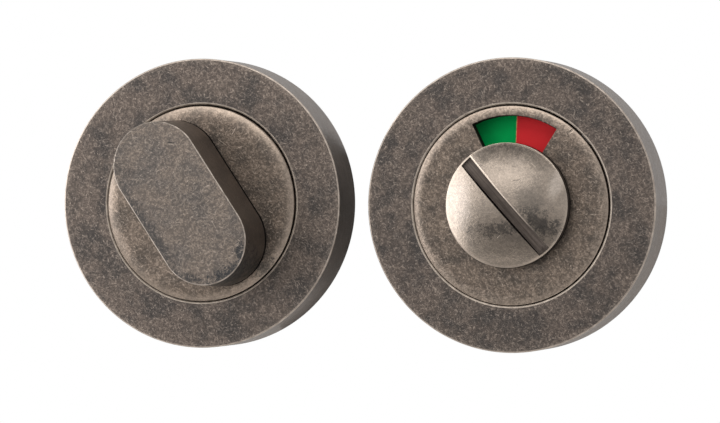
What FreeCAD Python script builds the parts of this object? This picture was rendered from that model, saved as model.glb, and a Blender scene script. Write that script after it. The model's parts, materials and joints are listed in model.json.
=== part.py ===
import FreeCAD, Part
import math
import os

# Bathroom lock set, the two halves that face each other through a door, laid out side by side:
# on the left the inside half, a thumb turn; on the right the outside half, a coin release with
# an indicator window. Lengths are millimetres and angles are degrees.
#
# The row's frame: +X to the right, +Z up, and the door's face is the plane Y = 0. The fittings
# stand out of it towards -Y, so "out" below is a height out from the door, and Y = -out. The
# origin is where the thumb turn's axis meets the door.

# Roses
centre_dia = 33.7          # the boss of the fixing plate, seen as the rose's centre disc
groove_gap = 0.3           # dark line between the centre disc and the cover ring
ring_width = 7.85          # flat front of the cover ring, from the line to its rim
ring_face_thick = 2.0
ring_wall = 1.6            # skirt of the cover ring
ring_bevel = 0.25          # worn bevel on the ring's front corner
rose_depth = 10.0          # how far the ring stands out from the door
rose_gap = 5.0             # between the two roses
thread_gap = 0.1           # between the ring's skirt and the flange that it screws onto

# Fixing plates: a screwed flange and the hollow centre boss, cast in one
flange_thick = 3.0
boss_wall = 1.0            # side wall round the hollow
face_thick = 2.4           # metal behind the flat of the centre disc
turn_crown_height = 0.9    # rise of the turn's centre disc above the ring
turn_crown_width = 2.5     # width of the rounded edge that makes that rise
release_crown_height = 0.45
release_crown_width = 1.5
rib_count = 4              # in the turn's plate, from its bearing hub to the boss's wall
rib_thick = 1.6
rib_step = 1.0             # from the hub's rear face forwards to the ribs' rear edges
screw_count = 4
screw_hole_dia = 3.5       # pan-head fixing screws, their heads inside the cover ring

# Bearings, alike in both halves
neck_dia = 10.0            # turned neck behind the head and behind the button
neck_back_gap = 0.9        # from the door's face to the neck's rear end
neck_land = 0.95           # metal between the clip's groove and the neck's rear end
running_gap = 0.05         # radial, neck in bush
press_gap = 0.01           # radial, bush in plate and pin in its hole
bush_wall = 1.15
bush_lip_width = 0.8       # how far the bush's flange stands past its wall
bush_lip_thick = 0.8       # holds the head and the button clear of the centre discs
end_gap = 0.1              # between a bush's flange and what turns on it

# Thumb turn: an oval head with straight sides and half-round ends, cast with its neck
head_width = 15.3          # across the front face
head_length = 30.42
head_height = 10.0         # from the head's underside to its front face
head_draft_width = 0.35    # how much each side spreads from the front to the base
head_bevel = 0.2           # worn bevel on the front edge
turn_angle = 33.9          # lean of the head at rest, its top to the left

# Spindle that works the lock in the door, and its cross pin
spindle_side = 5.0
spindle_gap = 0.05         # each side, in its square hole
spindle_bite_depth = 5.0   # how far it enters the head past the neck
spindle_reach_length = 60.0  # how far it stands out behind the door's face
spindle_chamfer = 0.6
pin_dia = 2.0
pin_end_gap = 0.2          # how far each end stays below the neck's surface
pin_step = 3.0             # from the hub's rear face forwards to the pin's axis

# Retaining stack behind each bearing
washer_bore_gap = 0.25     # radial, washers over the neck
spring_width = 3.25        # dished spring washer, from bore to rim
spring_thick = 0.4
spring_dish_height = 0.4
washer_width = 2.75
washer_thick = 0.5
stack_gap = 0.05           # play in the stack
clip_thick = 0.8
clip_width = 1.5           # from the clip's bore to its rim
clip_groove_depth = 0.6
clip_gap = 0.05            # clip in its groove
clip_mouth_angle = 50.0    # between the clip's two ears
ear_dia = 2.6
ear_hole_dia = 1.0

# Coin release button
button_dia = 21.08
button_side_height = 1.58  # from its underside to the dome's edge
button_dome_height = 1.47
button_chamfer = 0.3       # round the underside
slot_width = 2.1           # coin slot, nearly across the dome
slot_depth = 2.0           # at the dome's middle
slot_rim_width = 0.3       # thin rim that closes each end of the slot
slot_shift_width = 0.33    # from the button's middle to the slot's, down to the left at rest
slot_angle = 42.1          # lean of the slot at rest, its top to the left
socket_depth = 8.5         # square socket for the spindle's end
flat_depth = 0.8           # each of the two flats that key the disc to the neck
flat_gap = 0.05

# Indicator: a disc seen through a window in the centre disc
disc_side_gap = 0.35       # radial, disc inside the boss
disc_thick = 1.2
thrust_width = 2.95        # plain washer between the plate and the disc, from bore to rim
thrust_thick = 0.3
foil_thick = 0.12
foil_rim_width = 0.2       # bare metal outside the foils
foil_bore_gap = 0.8        # radial, foils round the thrust washer
foil_angle = 92.0          # sweep of each colour
foil_split_width = 0.12    # bare line between the two colours
split_angle = -2.0         # the line at rest, from straight up, negative to the right
window_rim_width = 1.85    # metal between the window and the edge of the centre disc
window_bore_width = 0.5    # how far the foils reach in past the window, under the button
window_middle_angle = -3.0
window_angle = 58.0        # sweep of the window

# Quarter-turn stop: a peg cast on the plate, in a curved slot through the indicator disc
unlock_angle = -slot_angle  # from rest until the slot stands upright
lock_angle = 90.0 - slot_angle
peg_dia = 2.0
peg_gap = 0.25
peg_inset_width = 3.2      # from the disc's rim in to the peg's axis
peg_angle = 180.0          # straight down, opposite the window
peg_proud_height = 0.5     # how far the peg passes the disc

# What follows from those sizes
centre_r = centre_dia / 2
ring_bore_r = centre_r + groove_gap
rose_r = ring_bore_r + ring_width
rose_spacing = 2 * rose_r + rose_gap
skirt_r = rose_r - ring_wall
flange_r = skirt_r - thread_gap
pocket_r = centre_r - boss_wall
screw_circle_r = (centre_r + flange_r) / 2
neck_r = neck_dia / 2
bush_bore_r = neck_r + running_gap
bush_r = bush_bore_r + bush_wall
washer_bore_r = neck_r + washer_bore_gap
spring_r = washer_bore_r + spring_width
hub_r = spring_r
thrust_r = washer_bore_r + thrust_width
clip_groove_r = neck_r - clip_groove_depth
disc_r = pocket_r - disc_side_gap
foil_r = disc_r - foil_rim_width
foil_bore_r = thrust_r + foil_bore_gap
window_r = centre_r - window_rim_width
window_bore_r = foil_bore_r + window_bore_width
peg_circle_r = disc_r - peg_inset_width
square_hole = spindle_side + 2 * spindle_gap

# Heights out from the door
spring_stack = spring_dish_height + spring_thick
neck_back = neck_back_gap
hub_back = neck_back + neck_land + clip_thick + washer_thick + spring_stack + stack_gap
rib_back = hub_back + rib_step
turn_flat = rose_depth + turn_crown_height
turn_pocket = turn_flat - face_thick
head_base = turn_flat + bush_lip_thick + end_gap
head_front = head_base + head_height
spindle_seat = head_base + spindle_bite_depth
pin_out = hub_back + pin_step
release_flat = rose_depth + release_crown_height
release_pocket = release_flat - face_thick
disc_front = release_pocket - stack_gap - thrust_thick
disc_back = disc_front - disc_thick
button_base = release_flat + bush_lip_thick + end_gap
button_rim = button_base + button_side_height
button_top = button_rim + button_dome_height
slot_floor = button_top - slot_depth
overshoot = 1.0            # how far a cutting body passes the surface it cuts


def at(r, out):
    """Point in the half plane that is turned round an axis."""
    return FreeCAD.Vector(r, -out, 0)


def turned(corners, axis_x=0.0):
    """Solid of revolution round an axis that stands square to the door.

    corners is the section's outline as (radius, out) pairs. A third value on a pair is the
    rounding's (radius, out) middle point on the arc that leads to the next corner.
    """
    edges = []
    for here, following in zip(corners, corners[1:] + corners[:1]):
        start = at(*here[:2])
        end = at(*following[:2])
        if len(here) > 2:
            edges.append(Part.Arc(start, at(*here[2]), end).toShape())
        else:
            edges.append(Part.LineSegment(start, end).toShape())
    section = Part.Face(Part.Wire(edges))
    solid = section.revolve(FreeCAD.Vector(0, 0, 0), FreeCAD.Vector(0, 1, 0), 360)
    solid.translate(FreeCAD.Vector(axis_x, 0, 0))
    return solid


def cylinder(r, low, high):
    """Round bar on the Y axis, from one height out to a greater one."""
    return Part.makeCylinder(r, high - low, FreeCAD.Vector(0, -low, 0), FreeCAD.Vector(0, -1, 0))


def tube(inner_r, outer_r, low, high):
    return cylinder(outer_r, low, high).cut(cylinder(inner_r, low - overshoot, high + overshoot))


def square_bar(side, low, high):
    corner = FreeCAD.Vector(-side / 2, -high, -side / 2)
    return Part.makeBox(side, high - low, side, corner)


def spun(shape, angle):
    """Turned round the Y axis, counter-clockwise as seen from the front."""
    shape.rotate(FreeCAD.Vector(0, 0, 0), FreeCAD.Vector(0, -1, 0), angle)
    return shape


def on_axis(shape, axis_x):
    shape.translate(FreeCAD.Vector(axis_x, 0, 0))
    return shape


def around(r, angle, out):
    """Point on a circle round the axis; the angle is from straight up, positive to the left."""
    a = math.radians(angle)
    return FreeCAD.Vector(-r * math.sin(a), -out, r * math.cos(a))


def sector(inner_r, outer_r, middle, sweep, low, high):
    """Part of a flat ring, centred on an angle from straight up."""
    ends = [middle - sweep / 2, middle + sweep / 2]
    outer = Part.Arc(*[around(outer_r, a, low) for a in (ends[0], middle, ends[1])]).toShape()
    inner = Part.Arc(*[around(inner_r, a, low) for a in (ends[1], middle, ends[0])]).toShape()
    sides = [
        Part.LineSegment(around(outer_r, ends[1], low), around(inner_r, ends[1], low)).toShape(),
        Part.LineSegment(around(inner_r, ends[0], low), around(outer_r, ends[0], low)).toShape(),
    ]
    face = Part.Face(Part.Wire([outer, sides[0], inner, sides[1]]))
    return face.extrude(FreeCAD.Vector(0, low - high, 0))


def curved_slot(middle_r, half_width, start, end, low, high):
    """Slot along a circle with round ends; start and end are its end rounds' centres."""
    body = sector(
        middle_r - half_width, middle_r + half_width, (start + end) / 2, end - start, low, high
    )
    for angle in (start, end):
        centre = around(middle_r, angle, low)
        body = body.fuse(
            Part.makeCylinder(half_width, high - low, centre, FreeCAD.Vector(0, -1, 0))
        )
    return body.removeSplitter()


def crown_corners(outer_r, edge_out, rise, width):
    """Corners of a centre disc's front: its rim, then the rounded edge up to its flat."""
    radius = (width ** 2 + rise ** 2) / (2 * rise)
    flat_r = outer_r - width
    half = math.asin(width / radius) / 2
    middle = (
        flat_r + radius * math.sin(half),
        edge_out + rise - radius * (1 - math.cos(half)),
    )
    return [(outer_r, edge_out, middle), (flat_r, edge_out + rise)]


def cover_ring(axis_x):
    """Pressed ring that screws over the fixing plate and hides its screws."""
    inside = rose_depth - ring_face_thick
    return turned(
        [
            (skirt_r, 0),
            (rose_r, 0),
            (rose_r, rose_depth - ring_bevel),
            (rose_r - ring_bevel, rose_depth),
            (ring_bore_r, rose_depth),
            (ring_bore_r, inside),
            (skirt_r, inside),
        ],
        axis_x,
    )


def plate_blank(pocket_out, crown, crown_width):
    """Flange and hollow boss, before its bore, window and screw holes."""
    rim, flat = crown_corners(centre_r, rose_depth, crown, crown_width)
    return turned(
        [
            (pocket_r, 0),
            (flange_r, 0),
            (flange_r, flange_thick),
            (centre_r, flange_thick),
            rim,
            flat,
            (0, rose_depth + crown),
            (0, pocket_out),
            (pocket_r, pocket_out),
        ]
    )


def with_screw_holes(plate):
    """Plain holes midway between the boss and the flange's edge, hidden by the cover ring."""
    for i in range(screw_count):
        drill = cylinder(screw_hole_dia / 2, -overshoot, flange_thick + overshoot)
        drill.translate(around(screw_circle_r, (i + 0.5) * 360 / screw_count, 0))
        plate = plate.cut(drill)
    return plate


def bush_hole(low, high):
    return cylinder(bush_r + press_gap, low, high)


def turn_fixing_plate():
    """The inside half's plate: ribs tie its long bearing hub to the boss's wall."""
    plate = plate_blank(turn_pocket, turn_crown_height, turn_crown_width)
    plate = plate.fuse(cylinder(hub_r, hub_back, turn_pocket))
    rib_length = pocket_r + boss_wall / 2
    for i in range(rib_count):
        rib = Part.makeBox(
            rib_thick,
            turn_pocket - rib_back,
            rib_length,
            FreeCAD.Vector(-rib_thick / 2, -turn_pocket, 0),
        )
        plate = plate.fuse(spun(rib, i * 360 / rib_count))
    plate = plate.removeSplitter()
    plate = plate.cut(bush_hole(hub_back - overshoot, turn_flat + overshoot))
    return with_screw_holes(plate)


def release_fixing_plate():
    """The outside half's plate: the indicator's window, and the peg that stops its disc."""
    plate = plate_blank(release_pocket, release_crown_height, release_crown_width)
    peg = cylinder(peg_dia / 2, disc_back - peg_proud_height, release_pocket)
    peg.translate(around(peg_circle_r, peg_angle, 0))
    plate = plate.fuse(peg)
    plate = plate.cut(bush_hole(release_pocket - overshoot, release_flat + overshoot))
    window = sector(
        window_bore_r,
        window_r,
        window_middle_angle,
        window_angle,
        release_pocket - overshoot,
        release_flat + overshoot,
    )
    plate = with_screw_holes(plate.cut(window))
    return on_axis(plate, rose_spacing)


def bush(low, flat, axis_x):
    """Flanged bearing bush, pressed into the plate from the front."""
    lip_r = bush_r + bush_lip_width
    return turned(
        [
            (bush_bore_r, low),
            (bush_r, low),
            (bush_r, flat),
            (lip_r, flat),
            (lip_r, flat + bush_lip_thick),
            (bush_bore_r, flat + bush_lip_thick),
        ],
        axis_x,
    )


def oval(width, length, out):
    """Straight sides and half-round ends, standing upright, as a closed wire."""
    r = width / 2
    straight = (length - width) / 2

    def point(x, z):
        return FreeCAD.Vector(x, -out, z)

    return Part.Wire(
        [
            Part.LineSegment(point(r, -straight), point(r, straight)).toShape(),
            Part.Arc(point(r, straight), point(0, length / 2), point(-r, straight)).toShape(),
            Part.LineSegment(point(-r, straight), point(-r, -straight)).toShape(),
            Part.Arc(point(-r, -straight), point(0, -length / 2), point(r, -straight)).toShape(),
        ]
    )


def clip_groove(clip_top):
    """Ring-shaped cut in the neck that takes a retaining clip."""
    return tube(clip_groove_r, neck_r + overshoot, clip_top - clip_thick - clip_gap, clip_top + clip_gap)


def cross_pin_hole():
    hole = Part.makeCylinder(
        pin_dia / 2 + press_gap,
        neck_dia + 2 * overshoot,
        FreeCAD.Vector(-neck_r - overshoot, -pin_out, 0),
        FreeCAD.Vector(1, 0, 0),
    )
    return hole


def turn_knob(clip_top):
    """Oval head and neck in one: drafted sides, a worn front edge, a blind square hole."""
    spread = 2 * head_draft_width
    base = oval(head_width + spread, head_length + spread, head_base)
    front = oval(head_width, head_length, head_front)
    head = Part.makeLoft([base, front], True)
    front_edges = [
        e for e in head.Edges if all(abs(v.y + head_front) < 1e-6 for v in e.discretize(3))
    ]
    head = head.makeChamfer(head_bevel, front_edges)
    knob = head.fuse(cylinder(neck_r, neck_back, head_base + overshoot)).removeSplitter()
    knob = knob.cut(square_bar(square_hole, neck_back - overshoot, spindle_seat + spindle_gap))
    knob = knob.cut(cross_pin_hole())
    knob = knob.cut(clip_groove(clip_top))
    return spun(knob, turn_angle)


def turn_spindle():
    """Square bar, chamfered at its free end so that it finds the lock's follower."""
    bar = square_bar(spindle_side, -spindle_reach_length, spindle_seat)
    end_edges = [
        e for e in bar.Edges if all(abs(v.y - spindle_reach_length) < 1e-6 for v in e.discretize(3))
    ]
    bar = bar.makeChamfer(spindle_chamfer, end_edges).cut(cross_pin_hole())
    return spun(bar, turn_angle)


def turn_spindle_pin():
    length = neck_dia - 2 * pin_end_gap
    pin = Part.makeCylinder(
        pin_dia / 2,
        length,
        FreeCAD.Vector(-length / 2, -pin_out, 0),
        FreeCAD.Vector(1, 0, 0),
    )
    return spun(pin, turn_angle)


def spring_washer(top, axis_x):
    """Dished spring washer: its outer edge bears forwards, its inner edge backwards."""
    return turned(
        [
            (washer_bore_r, top - spring_dish_height),
            (washer_bore_r, top - spring_stack),
            (spring_r, top - spring_thick),
            (spring_r, top),
        ],
        axis_x,
    )


def plain_washer(width, thick, top, axis_x):
    return on_axis(tube(washer_bore_r, washer_bore_r + width, top - thick, top), axis_x)


def retaining_clip(top, angle, axis_x):
    """Open ring with two drilled ears, sprung into the neck's groove."""
    inner_r = clip_groove_r + clip_gap
    outer_r = inner_r + clip_width
    low = top - clip_thick
    clip = tube(inner_r, outer_r, low, top)
    ear_r = outer_r
    for side in (-1, 1):
        spot = around(ear_r, side * clip_mouth_angle / 2, 0)
        ear = cylinder(ear_dia / 2, low, top)
        ear.translate(spot)
        clip = clip.fuse(ear)
    mouth = clip_mouth_angle - 2 * math.degrees(math.asin(ear_dia / 2 / ear_r))
    reach = outer_r + ear_dia
    clip = clip.cut(sector(inner_r / 2, reach, 0, mouth, low - overshoot, top + overshoot))
    clip = clip.cut(cylinder(inner_r, low - overshoot, top + overshoot))
    for side in (-1, 1):
        hole = cylinder(ear_hole_dia / 2, low - overshoot, top + overshoot)
        hole.translate(around(ear_r, side * clip_mouth_angle / 2, 0))
        clip = clip.cut(hole)
    return on_axis(spun(clip.removeSplitter(), angle), axis_x)


def release_button(clip_top):
    """Domed button with its coin slot, and its neck with two flats and a square socket."""
    r = button_dia / 2
    dome_radius = (r ** 2 + button_dome_height ** 2) / (2 * button_dome_height)
    half = math.asin(r / dome_radius) / 2
    dome_middle = (dome_radius * math.sin(half), button_top - dome_radius * (1 - math.cos(half)))
    button = turned(
        [
            (0, neck_back),
            (neck_r, neck_back),
            (neck_r, button_base),
            (r - button_chamfer, button_base),
            (r, button_base + button_chamfer),
            (r, button_rim, dome_middle),
            (0, button_top),
        ]
    )
    slot = Part.makeBox(
        slot_width,
        slot_depth + overshoot,
        button_dia,
        FreeCAD.Vector(-slot_shift_width - slot_width / 2, -button_top - overshoot, -r),
    )
    inside_rim = cylinder(r - slot_rim_width, slot_floor - overshoot, button_top + 2 * overshoot)
    button = button.cut(slot.common(inside_rim))
    for side in (-1, 1):
        flat = Part.makeBox(
            neck_r,
            disc_front - neck_back + overshoot,
            neck_dia,
            FreeCAD.Vector(-neck_r / 2, -disc_front, -neck_r),
        )
        flat.translate(FreeCAD.Vector(side * (1.5 * neck_r - flat_depth), 0, 0))
        button = button.cut(flat)
    button = button.cut(square_bar(square_hole, neck_back - overshoot, neck_back + socket_depth))
    button = button.cut(clip_groove(clip_top))
    return on_axis(spun(button, slot_angle), rose_spacing)


def indicator_disc():
    """Disc with a double-flat bore, and the curved slot that the plate's peg stops."""
    disc = cylinder(disc_r, disc_back, disc_front)
    bore = cylinder(neck_r + flat_gap, disc_back - overshoot, disc_front + overshoot)
    key_half = neck_r - flat_depth + flat_gap
    key = Part.makeBox(
        2 * key_half,
        disc_thick + 2 * overshoot,
        neck_dia + 2 * overshoot,
        FreeCAD.Vector(-key_half, -disc_front - overshoot, -neck_r - overshoot),
    )
    disc = spun(disc.cut(bore.common(key)), slot_angle)
    stop = curved_slot(
        peg_circle_r,
        peg_dia / 2 + peg_gap,
        peg_angle - lock_angle,
        peg_angle - unlock_angle,
        disc_back - overshoot,
        disc_front + overshoot,
    )
    return on_axis(disc.cut(stop), rose_spacing)


def foil(side):
    """One colour on the disc's face; side is 1 for the left one and -1 for the right one."""
    patch = sector(
        foil_bore_r,
        foil_r,
        split_angle + side * foil_angle / 2,
        foil_angle,
        disc_front,
        disc_front + foil_thick,
    )
    trim = Part.makeBox(
        foil_split_width,
        foil_thick + 2 * overshoot,
        foil_r + overshoot,
        FreeCAD.Vector(-foil_split_width / 2, -disc_front - foil_thick - overshoot, 0),
    )
    return on_axis(patch.cut(spun(trim, split_angle)), rose_spacing)


def build():
    turn_spring = hub_back - stack_gap
    turn_washer = turn_spring - spring_stack
    turn_clip = turn_washer - washer_thick
    release_washer = disc_back - spring_stack
    release_clip = release_washer - washer_thick
    return {
        "turn_cover_ring": cover_ring(0),
        "turn_fixing_plate": turn_fixing_plate(),
        "turn_bush": bush(hub_back, turn_flat, 0),
        "turn_knob": turn_knob(turn_clip),
        "turn_spindle": turn_spindle(),
        "turn_spindle_pin": turn_spindle_pin(),
        "turn_spring_washer": spring_washer(turn_spring, 0),
        "turn_plain_washer": plain_washer(washer_width, washer_thick, turn_washer, 0),
        "turn_retaining_clip": retaining_clip(turn_clip, turn_angle, 0),
        "release_cover_ring": cover_ring(rose_spacing),
        "release_fixing_plate": release_fixing_plate(),
        "release_bush": bush(release_pocket, release_flat, rose_spacing),
        "release_button": release_button(release_clip),
        "release_thrust_washer": plain_washer(
            thrust_width, thrust_thick, disc_front + thrust_thick, rose_spacing
        ),
        "indicator_disc": indicator_disc(),
        "indicator_green_foil": foil(1),
        "indicator_red_foil": foil(-1),
        "release_spring_washer": spring_washer(disc_back, rose_spacing),
        "release_plain_washer": plain_washer(
            washer_width, washer_thick, release_washer, rose_spacing
        ),
        "release_retaining_clip": retaining_clip(release_clip, slot_angle, rose_spacing),
    }


os.makedirs("parts", exist_ok=True)
for name, shape in build().items():
    shape.exportStep(f"parts/{name}.step")
    box = shape.BoundBox
    print(
        f"{name}: {len(shape.Solids)} solid, valid {shape.isValid()}, {shape.Volume:.1f} mm3,"
        f" out {-box.YMax:.2f} to {-box.YMin:.2f}"
    )
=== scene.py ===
# %% [markdown]
# # A bathroom lock set in aged pewter
#
# Two round fittings face each other through a door. The inside one has an oval thumb turn. The
# outside one has a domed button with a coin slot, and a window that shows green or red. The packed
# solids are the fixed frame of this lesson: every new piece is made to the same sizes, takes the
# place of one solid and moves with the same body. What the lesson adds is smooth round surfaces,
# worn edges and the mottled finish of pewter that has been handled for years.

# %% Load the solids
import json
import math

import bmesh
import bpy
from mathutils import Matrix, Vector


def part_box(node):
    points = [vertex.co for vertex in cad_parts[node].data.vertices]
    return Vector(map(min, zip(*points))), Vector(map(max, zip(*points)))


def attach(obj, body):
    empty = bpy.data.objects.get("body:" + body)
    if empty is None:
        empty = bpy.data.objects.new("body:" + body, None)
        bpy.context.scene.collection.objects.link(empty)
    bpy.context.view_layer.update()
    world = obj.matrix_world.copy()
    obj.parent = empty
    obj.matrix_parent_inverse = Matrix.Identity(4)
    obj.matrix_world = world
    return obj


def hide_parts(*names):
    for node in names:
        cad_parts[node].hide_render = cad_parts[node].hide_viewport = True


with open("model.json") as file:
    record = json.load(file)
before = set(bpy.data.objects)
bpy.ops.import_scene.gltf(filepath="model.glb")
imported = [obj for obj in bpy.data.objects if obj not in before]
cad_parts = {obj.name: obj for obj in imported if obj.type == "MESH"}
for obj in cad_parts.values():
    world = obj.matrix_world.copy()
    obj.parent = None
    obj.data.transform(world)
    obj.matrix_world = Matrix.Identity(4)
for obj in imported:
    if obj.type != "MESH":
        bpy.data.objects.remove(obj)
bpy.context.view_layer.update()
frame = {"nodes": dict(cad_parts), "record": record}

MM = 0.001
bodies = frame["record"]["behaviour"]["bodies"]
body_of = {node: body for body, members in bodies.items() for node in members}
release_x = sum(corner.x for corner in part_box("release_cover_ring")) / 2 / MM
print(f"{len(frame['nodes'])} solids; the release's axis is {release_x:.2f} mm from the turn's")

# %% [markdown]
# ## The camera
#
# The photograph was taken from a little to the right with a long lens, so the right-hand walls of
# the roses show. Its place was found by fitting the roses' circles to their outlines in the photo.
# A long lens far away keeps the circles nearly true, as a catalogue picture wants.

# %% Set up the camera
camera_data = bpy.data.cameras.new("camera")
camera_data.lens = 190.75
camera_data.sensor_width = 36
camera = bpy.data.objects.new("camera", camera_data)
camera.location = (0.20336, -0.63798, 0.00158)
camera.rotation_euler = [math.radians(a) for a in (89.752, -0.318, 15.551)]
bpy.context.scene.collection.objects.link(camera)
bpy.context.scene.camera = camera
bpy.context.scene.view_settings.view_transform = "Standard"
print(f"camera {math.dist(camera.location, (release_x * MM / 2, 0, 0)):.3f} m from the pair")

# %% [markdown]
# ## Small tools for the finishes
#
# A finish is a tree of nodes. Two short functions keep the trees readable: one adds a node and
# feeds its sockets, the other makes a group with named inputs and outputs, so that an effect is
# built once and used in several finishes. Patterns read the piece's own coordinates, so they stay
# on the metal when a part turns.

# %% Put down nodes
def put(tree, kind, feeds=None, **settings):
    """Adds a node. A socket is fed by a plain value or by another node's output."""
    made = tree.nodes.new("ShaderNode" + kind)
    for name, value in settings.items():
        setattr(made, name, value)
    for key, value in (feeds or {}).items():
        if isinstance(value, bpy.types.NodeSocket):
            tree.links.new(value, made.inputs[key])
        else:
            made.inputs[key].default_value = value
    return made


def maths(tree, operation, *terms):
    return put(tree, "Math", dict(enumerate(terms)), operation=operation).outputs[0]


def times(tree, *terms):
    return maths(tree, "MULTIPLY", *terms)


def vector_maths(tree, operation, *terms):
    return put(tree, "VectorMath", dict(enumerate(terms)), operation=operation).outputs[0]


def rotated(tree, vector, angle):
    """Turns a pattern about the axis that points into the door."""
    return put(tree, "VectorRotate", {"Vector": vector, "Angle": angle}, rotation_type="Y_AXIS").outputs[0]


def noise(tree, vector, scale, detail, roughness, **feeds):
    feeds = {"Vector": vector, "Scale": scale, "Detail": detail, "Roughness": roughness, **feeds}
    return put(tree, "TexNoise", feeds).outputs[0]


def ramp(tree, value, low, high, to_low=0.0, to_high=1.0):
    """Smooth step of a value from one level to another."""
    feeds = {"Value": value, "From Min": low, "From Max": high, "To Min": to_low, "To Max": to_high}
    return put(tree, "MapRange", feeds, interpolation_type="SMOOTHSTEP").outputs["Result"]


def blend(tree, factor, under, over):
    """Colour that goes from one to another with a mask."""
    node = put(tree, "Mix", data_type="RGBA")
    for socket, value in zip((node.inputs[0], node.inputs[6], node.inputs[7]), (factor, under, over)):
        if isinstance(value, bpy.types.NodeSocket):
            tree.links.new(value, socket)
        else:
            socket.default_value = value
    return node.outputs[2]


# %% Make node groups
def new_group(name, inputs, outputs):
    group = bpy.data.node_groups.new(name, "ShaderNodeTree")
    for label, kind, value in inputs:
        socket = group.interface.new_socket(label, in_out="INPUT", socket_type="NodeSocket" + kind)
        if value is not None:
            socket.default_value = value
    for label in outputs:
        group.interface.new_socket(label, in_out="OUTPUT", socket_type="NodeSocketFloat")
    return group, group.nodes.new("NodeGroupInput").outputs, group.nodes.new("NodeGroupOutput")


def use_group(tree, group, **feeds):
    node = put(tree, "Group", node_tree=group)
    for key, value in feeds.items():
        socket = node.inputs[key]
        if isinstance(value, bpy.types.NodeSocket):
            tree.links.new(value, socket)
        else:
            socket.default_value = value
    return node.outputs


# %% [markdown]
# ## Patterns of the aged metal
#
# Seen close, the pewter is a felt of short straight strokes, a fraction of a millimetre thick and
# lying every way, where tumbling rubbed the dark patina through. Larger smoky blotches lie under
# them. One noise stretched lengthwise gives strokes in one direction, so five of them, each turned
# a little further, give the felt. The walls that were turned on a lathe have fine lines instead.

# %% Strokes lying every way
felt, felt_in, felt_out = new_group(
    "felted strokes", [("Vector", "Vector", None), ("Width", "Float", 0.16)], ["Strokes", "Nap"]
)
per_metre = maths(felt, "DIVIDE", 1.0 / MM, felt_in["Width"])
strokes = []
for i, angle in enumerate((8, 41, 79, 118, 152)):
    turned_by = rotated(felt, felt_in["Vector"], math.radians(angle))
    long_way = vector_maths(felt, "MULTIPLY", turned_by, (0.36, 0.6, 1.0))
    apart = vector_maths(felt, "ADD", long_way, (0, 0.31 * i, 0))
    strokes.append(noise(felt, apart, times(felt, per_metre, 0.62), 2.0, 0.6))
pile = nap = strokes[0]
for stroke in strokes[1:]:
    pile = maths(felt, "MAXIMUM", pile, stroke)
    nap = maths(felt, "ADD", nap, stroke)
felt.links.new(ramp(felt, pile, 0.60, 0.80), felt_out.inputs["Strokes"])
felt.links.new(ramp(felt, nap, 2.15, 2.85), felt_out.inputs["Nap"])

# %% Smoky blotches
smoke, smoke_in, smoke_out = new_group(
    "smoky blotches", [("Vector", "Vector", None), ("Size", "Float", 4.0)], ["Smoke", "Mottle"]
)
per_metre = maths(smoke, "DIVIDE", 1.0 / MM, smoke_in["Size"])
wide = noise(smoke, smoke_in["Vector"], per_metre, 5.0, 0.62)
fine = noise(smoke, smoke_in["Vector"], times(smoke, per_metre, 5.0), 4.0, 0.7)
smoke.links.new(ramp(smoke, wide, 0.40, 0.66), smoke_out.inputs["Smoke"])
smoke.links.new(ramp(smoke, fine, 0.30, 0.70), smoke_out.inputs["Mottle"])

# %% Lathe lines
turning, turning_in, turning_out = new_group(
    "lathe lines", [("Vector", "Vector", None), ("Along", "Float", 70.0)], ["Lines"]
)
stretch = put(turning, "CombineXYZ", {"X": turning_in["Along"], "Y": 5200.0, "Z": turning_in["Along"]})
drawn = vector_maths(turning, "MULTIPLY", turning_in["Vector"], stretch.outputs[0])
lathe = noise(turning, drawn, 1.0, 3.0, 0.65)
turning.links.new(ramp(turning, lathe, 0.3, 0.7), turning_out.inputs["Lines"])

# %% [markdown]
# ## Marks of use
#
# Some marks have a place of their own: patches and single scratches. A patch is a darker or paler
# soft oval: on some pieces a stain, on others painted shade, a painted shadow or a painted highlight.
# Noise eats into its rim, and its ragged share says how much:
# 1 for a dark stain in the hollows, little for a wide change of tone. A scratch is a thin line that
# fades at both ends. Both are placed in millimetres on the piece, so they turn with it.

# %% Where a mark lies
mark_inputs = [("Vector", "Vector", None), ("Middle", "Vector", (0, 0, 0)), ("Turn", "Float", 0.0)]


def from_mark(tree, inputs):
    """The place in millimetres, and the same measured from the mark's middle along its turn."""
    in_mm = vector_maths(tree, "MULTIPLY", inputs["Vector"], (1 / MM,) * 3)
    away = vector_maths(tree, "SUBTRACT", in_mm, inputs["Middle"])
    return in_mm, rotated(tree, away, inputs["Turn"])


# %% Patches
patch, patch_in, patch_out = new_group(
    "stain or painted light patch", [*mark_inputs, ("Reach", "Vector", (1, 1, 1)), ("Ragged", "Float", 1.0)], ["Patch"]
)
in_mm, away = from_mark(patch, patch_in)
away = put(patch, "SeparateXYZ", {0: vector_maths(patch, "DIVIDE", away, patch_in["Reach"])}).outputs
squares = maths(patch, "ADD", times(patch, away["X"], away["X"]), times(patch, away["Z"], away["Z"]))
ragged = noise(patch, in_mm, 0.7, 3.0, 0.6)
wiry = noise(patch, in_mm, 2.2, 4.0, 0.7, Distortion=1.2)
eaten = maths(
    patch, "ADD", maths(patch, "MULTIPLY_ADD", ragged, 1.8, -0.9), maths(patch, "MULTIPLY_ADD", wiry, 3.0, -1.5)
)
length = maths(patch, "MULTIPLY_ADD", eaten, patch_in["Ragged"], maths(patch, "POWER", squares, 0.5))
patch.links.new(ramp(patch, length, 0.30, 0.95, 1.0, 0.0), patch_out.inputs["Patch"])

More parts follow.
